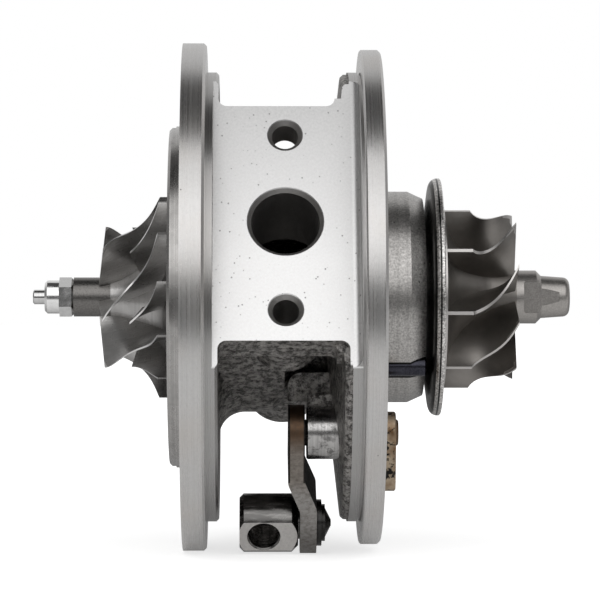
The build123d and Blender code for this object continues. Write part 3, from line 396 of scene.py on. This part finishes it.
def housing_finish():
    """Rough sand casting, with turned flanges, collars and nose and a milled drain pad."""
    s = Finish("housing_finish")
    radius = s.radius()
    pad_height = toward_pad(s, s.y, s.z)
    up_pad = s.turned(s.z, s.y, PAD_TILT)
    turned = turned_areas(s, radius)
    collar_length = s.between(s.x, COMP_INNER + HAIR, TURB_INNER - HAIR)
    collars = s.times(turned, s.below(radius, COLLAR_RADIUS + HAIR), collar_length)
    nose = s.times(s.above(s.x, TURB_FACE), s.below(radius, NOSE_RADIUS + HAIR))
    on_pad, corner = pad_areas(s, radius, pad_height)
    holes = hole_areas(s, up_pad, pad_height)
    # Painted shadow round the locating pin, near black, for the shade of the groove it lies in
    pin_shadow = s.times(s.above(s.x, PIN_SHADOW_START), s.below(s.radius(*PIN), PIN_RADIUS + PIN_SHADOW_WIDTH))
    machined = s.either(turned, on_pad, holes)
    cast_colour, lumps, grain = cast_surface(s)
    turned_colour, fine = turned_surface(s)
    areas = (turned, collars, nose, on_pad, corner, holes, pin_shadow)
    colour = housing_colour(s, cast_colour, turned_colour, areas, pad_surface(s, up_pad, grain))
    rough = s.lerp(turned, s.ramp(grain, 0.3, 0.7, 0.40, 0.60), s.ramp(fine, 0.3, 0.7, 0.24, 0.34))
    rough = s.lerp(nose, rough, s.ramp(grain, 0.3, 0.7, 0.26, 0.40))
    rough = s.lerp(on_pad, rough, s.ramp(grain, 0.3, 0.7, 0.36, 0.46))
    s.bump(lumps, s.times(s.inverse(machined), 0.9), 0.0007)
    s.bump(grain, s.lerp(machined, 0.95, 0.04), 0.00045)
    s.bump(fine, s.times(turned, 0.06), 0.00003)
    return s.done(colour, rough)


def turned_finish(name, dark, light, low=0.16, high=0.30, centre=(0.0, 0.0)):
    """Steel turned or ground round an axis along X."""
    s = Finish(name)
    marks = s.lines(4200.0, centre)
    mottle = s.noise(260.0, 4.0, 0.6)
    darkest = tuple(0.65 * c for c in dark[:3]) + (1,)
    colour = s.blend(s.ramp(mottle, 0.5, 0.75, 0.0, 0.4), s.mottled(marks, dark, light), darkest)
    s.bump(marks, 0.05, 0.00003)
    return s.done(colour, s.ramp(mottle, 0.3, 0.7, low, high))


def wheel_edges(s, tip_radius, hub_radius, start, end):
    """Where a wheel's blade tips and the free ends of its blades are cut bright."""
    radius = s.radius()
    facing = s.facing()
    across = s.less(s.times(facing[2], s.y), s.times(facing[1], s.z))
    edge = s.below(s.size(s.math("DIVIDE", across, radius)), 0.55)
    tips = s.times(edge, s.above(radius, tip_radius), s.between(s.x, start, end))
    ends = s.times(s.above(s.size(facing[0]), 0.75), s.above(radius, hub_radius))
    return tips, s.times(ends, edge)


def compressor_wheel_finish():
    """Milled aluminium, dark satin between the blades, with bright blade edges and a dull nose."""
    s = Finish("compressor_wheel_finish")
    grain = s.noise(2600.0, 3.0, 0.6)
    clouds = s.noise(150.0, 3.0, 0.5)
    cutter = s.noise(1.0, 2.0, 0.5, s.point(s.times(s.x, 300.0), s.times(s.radius(), 2600.0), 0.0))
    tips, ends = wheel_edges(s, COMP_TIP_RADIUS, COMP_HUB_RADIUS, COMP_WHEEL_FRONT, COMP_BLADE_END)
    bright = s.either(tips, s.times(ends, s.below(s.x, SPLITTER_END)))
    nose = s.times(s.below(s.x, COMP_NOSE_END), s.below(s.radius(), COMP_HUB_RADIUS))
    colour = s.mottled(clouds, grey(0.36, 0.04), grey(0.50, 0.04))
    colour = s.blend(s.ramp(cutter, 0.45, 0.65, 0.0, 0.35), colour, grey(0.56, 0.03))
    colour = s.blend(bright, colour, grey(0.88, 0.02))
    colour = s.blend(s.above(s.radius(), COMP_RIM_RADIUS), colour, grey(0.30, 0.04))
    colour = s.blend(nose, colour, s.mottled(grain, grey(0.15, 0.08), grey(0.23, 0.08)))
    s.bump(grain, 0.15, 0.00004)
    return s.done(colour, s.lerp(bright, s.ramp(grain, 0.3, 0.7, 0.26, 0.38), 0.30))


def turbine_wheel_finish():
    """Cast nickel alloy, grey-brown, with ground blade tips and a scratched nose and stub."""
    s = Finish("turbine_wheel_finish")
    grain = s.noise(2600.0, 3.0, 0.65)
    clouds = s.noise(130.0, 3.0, 0.5)
    scratches = s.ramp(s.cells(330.0), 0.02, 0.05, 1.0, 0.0)
    tips, ends = wheel_edges(s, TURB_TIP_RADIUS, TURB_HUB_RADIUS, TURB_BLADE_START, TURB_BLADE_REACH)
    ends = s.times(ends, s.between(s.x, TURB_BLADE_END, TURB_BLADE_LIMIT))
    rim = s.times(s.above(s.radius(), TURB_RIM_RADIUS), s.above(s.x, TURB_RIM_START))
    bright = s.either(tips, ends, rim)
    nose = s.above(s.x, TURB_NOSE_START)
    colour = s.mottled(clouds, grey(0.21, 0.12), grey(0.33, 0.12))
    colour = s.blend(nose, colour, s.mottled(grain, grey(0.32, 0.09), grey(0.46, 0.09)))
    colour = s.blend(s.times(scratches, nose, 0.6), colour, grey(0.55, 0.03))
    colour = s.blend(bright, colour, grey(0.62, 0.06))
    s.bump(grain, 0.2, 0.00005)
    rough = s.lerp(nose, s.ramp(grain, 0.3, 0.7, 0.34, 0.46), s.ramp(grain, 0.3, 0.7, 0.28, 0.42))
    return s.done(colour, s.lerp(bright, rough, 0.32))


def lever_finish():
    """Pressed steel: black sides, and edges whose brown heat tint fades to grey at the swivel."""
    s = Finish("lever_finish")
    grain = s.noise(1800.0, 4.0, 0.65)
    streaks = s.stretched(900.0, 600.0, 1500.0)
    sides = s.above(s.size(s.facing()[0]), 0.85)
    colour = s.blend(s.ramp(s.z, *LEVER_BROWN_Z, smooth=True), grey(0.27, 0.20), (0.12, 0.075, 0.048, 1))
    colour = s.blend(s.ramp(s.z, *LEVER_GREY_Z, 1.0, 0.0, smooth=True), colour, grey(0.40, 0.08))
    colour = s.blend(s.ramp(s.z, *LEVER_FOOT_Z, 0.7, 0.0, smooth=True), colour, grey(0.15, 0.08))
    # Near black strips along the lever's left and right edges, on its upper part
    dark_edges = s.either(s.below(s.x, LEVER_LEFT_DARK_EDGE), s.above(s.x, LEVER_RIGHT_DARK_EDGE))
    dark_edges = s.times(dark_edges, s.above(s.z, LEVER_DARK_EDGE_END_Z), s.below(s.x, LEVER_RIGHT_LIMIT))
    colour = s.blend(dark_edges, colour, grey(0.02, 0.1))
    colour = s.blend(s.ramp(streaks, 0.4, 0.7, 0.0, 0.5), colour, (0.075, 0.060, 0.048, 1))
    colour = s.blend(sides, colour, s.mottled(streaks, grey(0.025, 0.1), grey(0.07, 0.1), 0.4, 0.7))
    s.bump(grain, 0.30, 0.00008)
    return s.done(colour, s.ramp(grain, 0.3, 0.7, 0.34, 0.50))


def bush_finish():
    """Ground steel with dark stains."""
    s = Finish("bush_finish")
    stains = s.noise(420.0, 4.0, 0.7)
    colour = s.mottled(s.lines(1500.0, SPINDLE), grey(0.38, 0.04), grey(0.54, 0.04))
    colour = s.blend(s.ramp(stains, 0.50, 0.62, 0.0, 0.8), colour, grey(0.14, 0.05))
    s.bump(stains, 0.10, 0.00006)
    return s.done(colour, s.ramp(stains, 0.35, 0.65, 0.14, 0.32))


def swivel_block_finish():
    """Black oiled steel, glossy round the barrel, with ground flats where the rod passes through."""
    s = Finish("swivel_block_finish")
    facing = s.facing()
    toward = s.size(s.turned(facing[1], facing[2], SWIVEL_FLAT_ANGLE))
    height = s.size(s.turned(s.less(s.y, SWIVEL[0]), s.less(s.z, SWIVEL[1]), SWIVEL_FLAT_ANGLE))
    flats = s.times(s.above(toward, 0.97), s.above(height, SWIVEL_FLAT_DISTANCE))
    in_hole = s.times(s.below(height, SWIVEL_HOLE_LIMIT), s.below(s.radius(*SWIVEL), SWIVEL_HOLE_REACH))
    in_hole = s.times(in_hole, s.below(toward, 0.5), s.below(s.size(facing[0]), 0.99))
    grain = s.noise(1500.0, 3.0, 0.6)
    rubbed = s.stretched(260.0, 1500.0, 1500.0)
    colour = s.mottled(rubbed, grey(0.13, 0.06), grey(0.25, 0.06), 0.45, 0.7)
    colour = s.blend(flats, colour, s.mottled(grain, grey(0.60, 0.06), grey(0.72, 0.06)))
    colour = s.blend(in_hole, colour, s.mottled(rubbed, grey(0.25, 0.05), grey(0.55, 0.05), 0.4, 0.6))
    s.bump(rubbed, 0.04, 0.00004)
    return s.done(colour, s.lerp(flats, s.ramp(rubbed, 0.4, 0.7, 0.16, 0.30), 0.40))


def shield_finish():
    """Pressed heat shield: its dark tint deepened by painted shade to near black towards the nose and in a
    dark line round its pale speckled rim.
    """
    s = Finish("shield_finish")
    grain = s.noise(2200.0, 3.0, 0.7)
    clouds = s.noise(300.0, 3.0, 0.6)
    light = s.either(s.between(s.x, SHIELD_BEAD_START, SHIELD_BEAD_END), s.above(s.x, SHIELD_LIP_START))
    light = s.times(s.above(s.radius(), SHIELD_RIM_RADIUS), light)
    # The near black on faces turned towards the nose, and in the line between the rim's pale bands, is the
    # steel's dark tint deepened by painted shade
    dark = s.mottled(clouds, grey(0.016, 0.05), grey(0.040, 0.05))
    inside = s.mottled(clouds, grey(0.10, 0.07), grey(0.20, 0.07))
    colour = s.blend(s.above(s.facing()[0], 0.2), dark, inside)
    colour = s.blend(light, colour, s.mottled(grain, grey(0.30, 0.06), grey(0.92, 0.05), 0.40, 0.62))
    s.bump(grain, 0.25, 0.00006)
    return s.done(colour, s.ramp(grain, 0.3, 0.7, 0.24, 0.38))


def inner_crank_finish():
    """Heat-tinted crank in the hot gas: tan and brown, with black soot in patches."""
    s = Finish("inner_crank_finish")
    patches = s.noise(330.0, 4.0, 0.7)
    colour = s.mottled(s.noise(190.0, 3.0, 0.6), (0.20, 0.115, 0.060, 1), (0.46, 0.37, 0.27, 1), 0.4, 0.6)
    colour = s.blend(s.ramp(patches, 0.50, 0.56), colour, grey(0.018, 0.1))
    s.bump(patches, 0.2, 0.0001)
    return s.done(colour, s.ramp(patches, 0.4, 0.6, 0.45, 0.30))


def nut_finish():
    """Plated nut with bright flats and a darker collar towards the wheel."""
    s = Finish("nut_finish")
    mottle = s.noise(500.0, 4.0, 0.6)
    colour = s.mottled(mottle, grey(0.82, 0.01), grey(0.95, 0.01), 0.35, 0.65)
    collar = s.mottled(mottle, grey(0.22, 0.05), grey(0.42, 0.05), 0.4, 0.6)
    colour = s.blend(s.above(s.x, NUT_COLLAR_START), colour, collar)
    s.bump(s.lines(4200.0), 0.05, 0.00003)
    return s.done(colour, s.ramp(mottle, 0.3, 0.7, 0.10, 0.24))


def rubber_finish():
    """Dull black rubber of the O-ring."""
    s = Finish("rubber_finish")
    s.bump(s.noise(1500.0), 0.1, 0.0001)
    return s.done(grey(0.02), 0.6, 0.0)


def set_material(node, material):
    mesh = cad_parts[node].data
    mesh.materials.clear()
    mesh.materials.append(material)


def dress_nodes():
    """Gives every node its finish."""
    black_small = turned_finish("black_finish", grey(0.025, 0.05), grey(0.060, 0.05), 0.18, 0.34, SWIVEL)
    finishes = {
        housing_finish(): ["bearing_housing"],
        turned_finish("plate_finish", grey(0.36, 0.05), grey(0.50, 0.05), 0.20, 0.34): [
            "seal_plate", "oil_flinger", "thrust_collar", "oil_deflector"],
        turned_finish("nickel_finish", grey(0.60, 0.01), grey(0.72, 0.01), 0.08, 0.16): [
            "rotor_shaft"],
        nut_finish(): ["shaft_nut"],
        shield_finish(): ["heat_shield"],
        inner_crank_finish(): ["inner_crank"],
        turned_finish("blued_finish", (0.030, 0.030, 0.040, 1), (0.065, 0.065, 0.080, 1), 0.2, 0.32): [
            "locating_pin"],
        turned_finish("bronze_finish", (0.45, 0.30, 0.13, 1), (0.62, 0.44, 0.20, 1)): [
            "journal_bearing_compressor", "journal_bearing_turbine", "thrust_bearing"],
        black_small: ["swivel_washer", "swivel_lock_washer", "swivel_pin", "seal_plate_screws",
                      "thrust_bearing_screws", "bearing_circlips", "compressor_piston_ring",
                      "turbine_piston_ring"],
        bush_finish(): ["lever_bush"],
        compressor_wheel_finish(): ["compressor_wheel"],
        turbine_wheel_finish(): ["turbine_wheel"],
        lever_finish(): ["lever_arm", "lever_spindle"],
        swivel_block_finish(): ["swivel_block"],
        rubber_finish(): ["seal_plate_o_ring"],
    }
    for material, nodes in finishes.items():
        for node in nodes:
            set_material(node, material)


def add_floor():
    """Pale floor that keeps the object's shadow; light of its own, for the camera's rays, makes it white."""
    mesh = bpy.data.meshes.new("floor")
    signs = ((-1, -1), (1, -1), (1, 1), (-1, 1))
    corners = [(FLOOR_REACH * across, FLOOR_REACH * back, FLOOR_Z) for across, back in signs]
    mesh.from_pydata(corners, [], [(0, 1, 2, 3)])
    floor = bpy.data.objects.new("floor", mesh)
    bpy.context.collection.objects.link(floor)
    s = Finish("floor_finish")
    rays = s.tree.nodes.new("ShaderNodeLightPath")
    seen_in_metal = s.either(rays.outputs["Is Glossy Ray"], rays.outputs["Is Transmission Ray"])
    # In the metal's reflections the sheet ends in front of the object and is dimmer behind it
    behind = s.ramp(s.y, *SHEET_BACK_Y, 1.0, 0.33, smooth=True)
    sheet = s.times(s.ramp(s.y, *SHEET_FRONT_Y, smooth=True), behind)
    # The floor's own light for the camera grows away from the object, so that the shadow stays
    away = s.ramp(s.length(s.x, s.y), *GLOW_REACH, 0.70, 1.0)
    tone = s.lerp(seen_in_metal, 0.60, s.ramp(sheet, 0.0, 1.0, 0.15, 0.70))
    glow = s.lerp(seen_in_metal, s.times(rays.outputs["Is Camera Ray"], away), s.times(sheet, 0.22))
    material = s.done(s.point(tone, tone, tone), 0.9, 0.0)
    s.shader.inputs["Specular IOR Level"].default_value = 0.0
    s.shader.inputs["Emission Color"].default_value = (1, 1, 1, 1)
    s.put(s.shader.inputs["Emission Strength"], glow)
    mesh.materials.append(material)


def add_light(name, elevation, distance, width, height, radiance):
    """A soft panel in front of the object at an elevation above the camera's line, aimed at it."""
    data = bpy.data.lights.new(name, "AREA")
    data.shape = "RECTANGLE"
    data.size = width
    data.size_y = height
    data.energy = radiance * pi * width * height
    light = bpy.data.objects.new(name, data)
    bpy.context.collection.objects.link(light)
    place = Vector(MIDDLE) + Vector((0.0, -distance * cos(elevation), distance * sin(elevation)))
    aim = (Vector(MIDDLE) - place).to_track_quat("-Z", "Y")
    light.matrix_world = Matrix.Translation(place) @ aim.to_matrix().to_4x4()
    light.visible_camera = False


def add_room():
    """White to the camera. In the metal: dark overhead and in front, a pale wall behind."""
    world = bpy.data.worlds.new("studio_room")
    bpy.context.scene.world = world
    world.use_nodes = True
    room = Nodes(world.node_tree)
    x, y, z = room.axes(room.coordinates.outputs["Generated"])
    lift = room.math("ARCTAN2", z, room.times(y, -1.0))
    wall = room.ramp(lift, radians(112.0), radians(124.0), smooth=True)
    low_front = room.ramp(lift, radians(2.0), radians(12.0), 1.0, 0.0, smooth=True)
    level = room.plus(0.06, room.plus(room.times(wall, 0.66), room.times(low_front, 0.08)))
    side = room.ramp(room.size(x), 0.55, 0.95, smooth=True)
    level = room.lerp(side, level, room.ramp(x, -0.9, 0.9, 0.22, 0.40))
    rays = room.tree.nodes.new("ShaderNodeLightPath")
    in_metal = room.either(rays.outputs["Is Glossy Ray"], rays.outputs["Is Transmission Ray"])
    strength = room.lerp(in_metal, room.lerp(rays.outputs["Is Camera Ray"], 0.45, 1.0), level)
    background = room.tree.nodes.new("ShaderNodeBackground")
    background.inputs["Color"].default_value = (1, 1, 1, 1)
    room.put(background.inputs["Strength"], strength)
    output = room.tree.nodes.new("ShaderNodeOutputWorld")
    room.tree.links.new(background.outputs[0], output.inputs["Surface"])


def add_studio():
    """A large soft panel, a smaller and lower one for the bright bands, and the room."""
    add_light("key_box", radians(40.0), 1.0, 1.7, 1.20, 1.12)
    add_light("key_core", radians(33.0), 1.1, 1.2, 0.55, 0.30)
    add_room()


def add_camera():
    """A long lens in front of the object, turned and lowered a little to match the photo's framing."""
    distance = 0.780
    turn = radians(0.881)
    dip = radians(0.052)
    data = bpy.data.cameras.new("camera")
    data.lens = 198.9
    data.sensor_width = 36.0
    data.clip_start = 0.05
    data.clip_end = 20.0
    camera = bpy.data.objects.new("camera", data)
    bpy.context.collection.objects.link(camera)
    camera.location = (0.0154, -distance, 0.0)
    camera.rotation_euler = (radians(90.0) - dip, 0.0, -turn)
    bpy.context.scene.camera = camera


dress_nodes()
add_floor()
add_studio()
add_camera()
bpy.context.scene.view_settings.view_transform = "Standard"
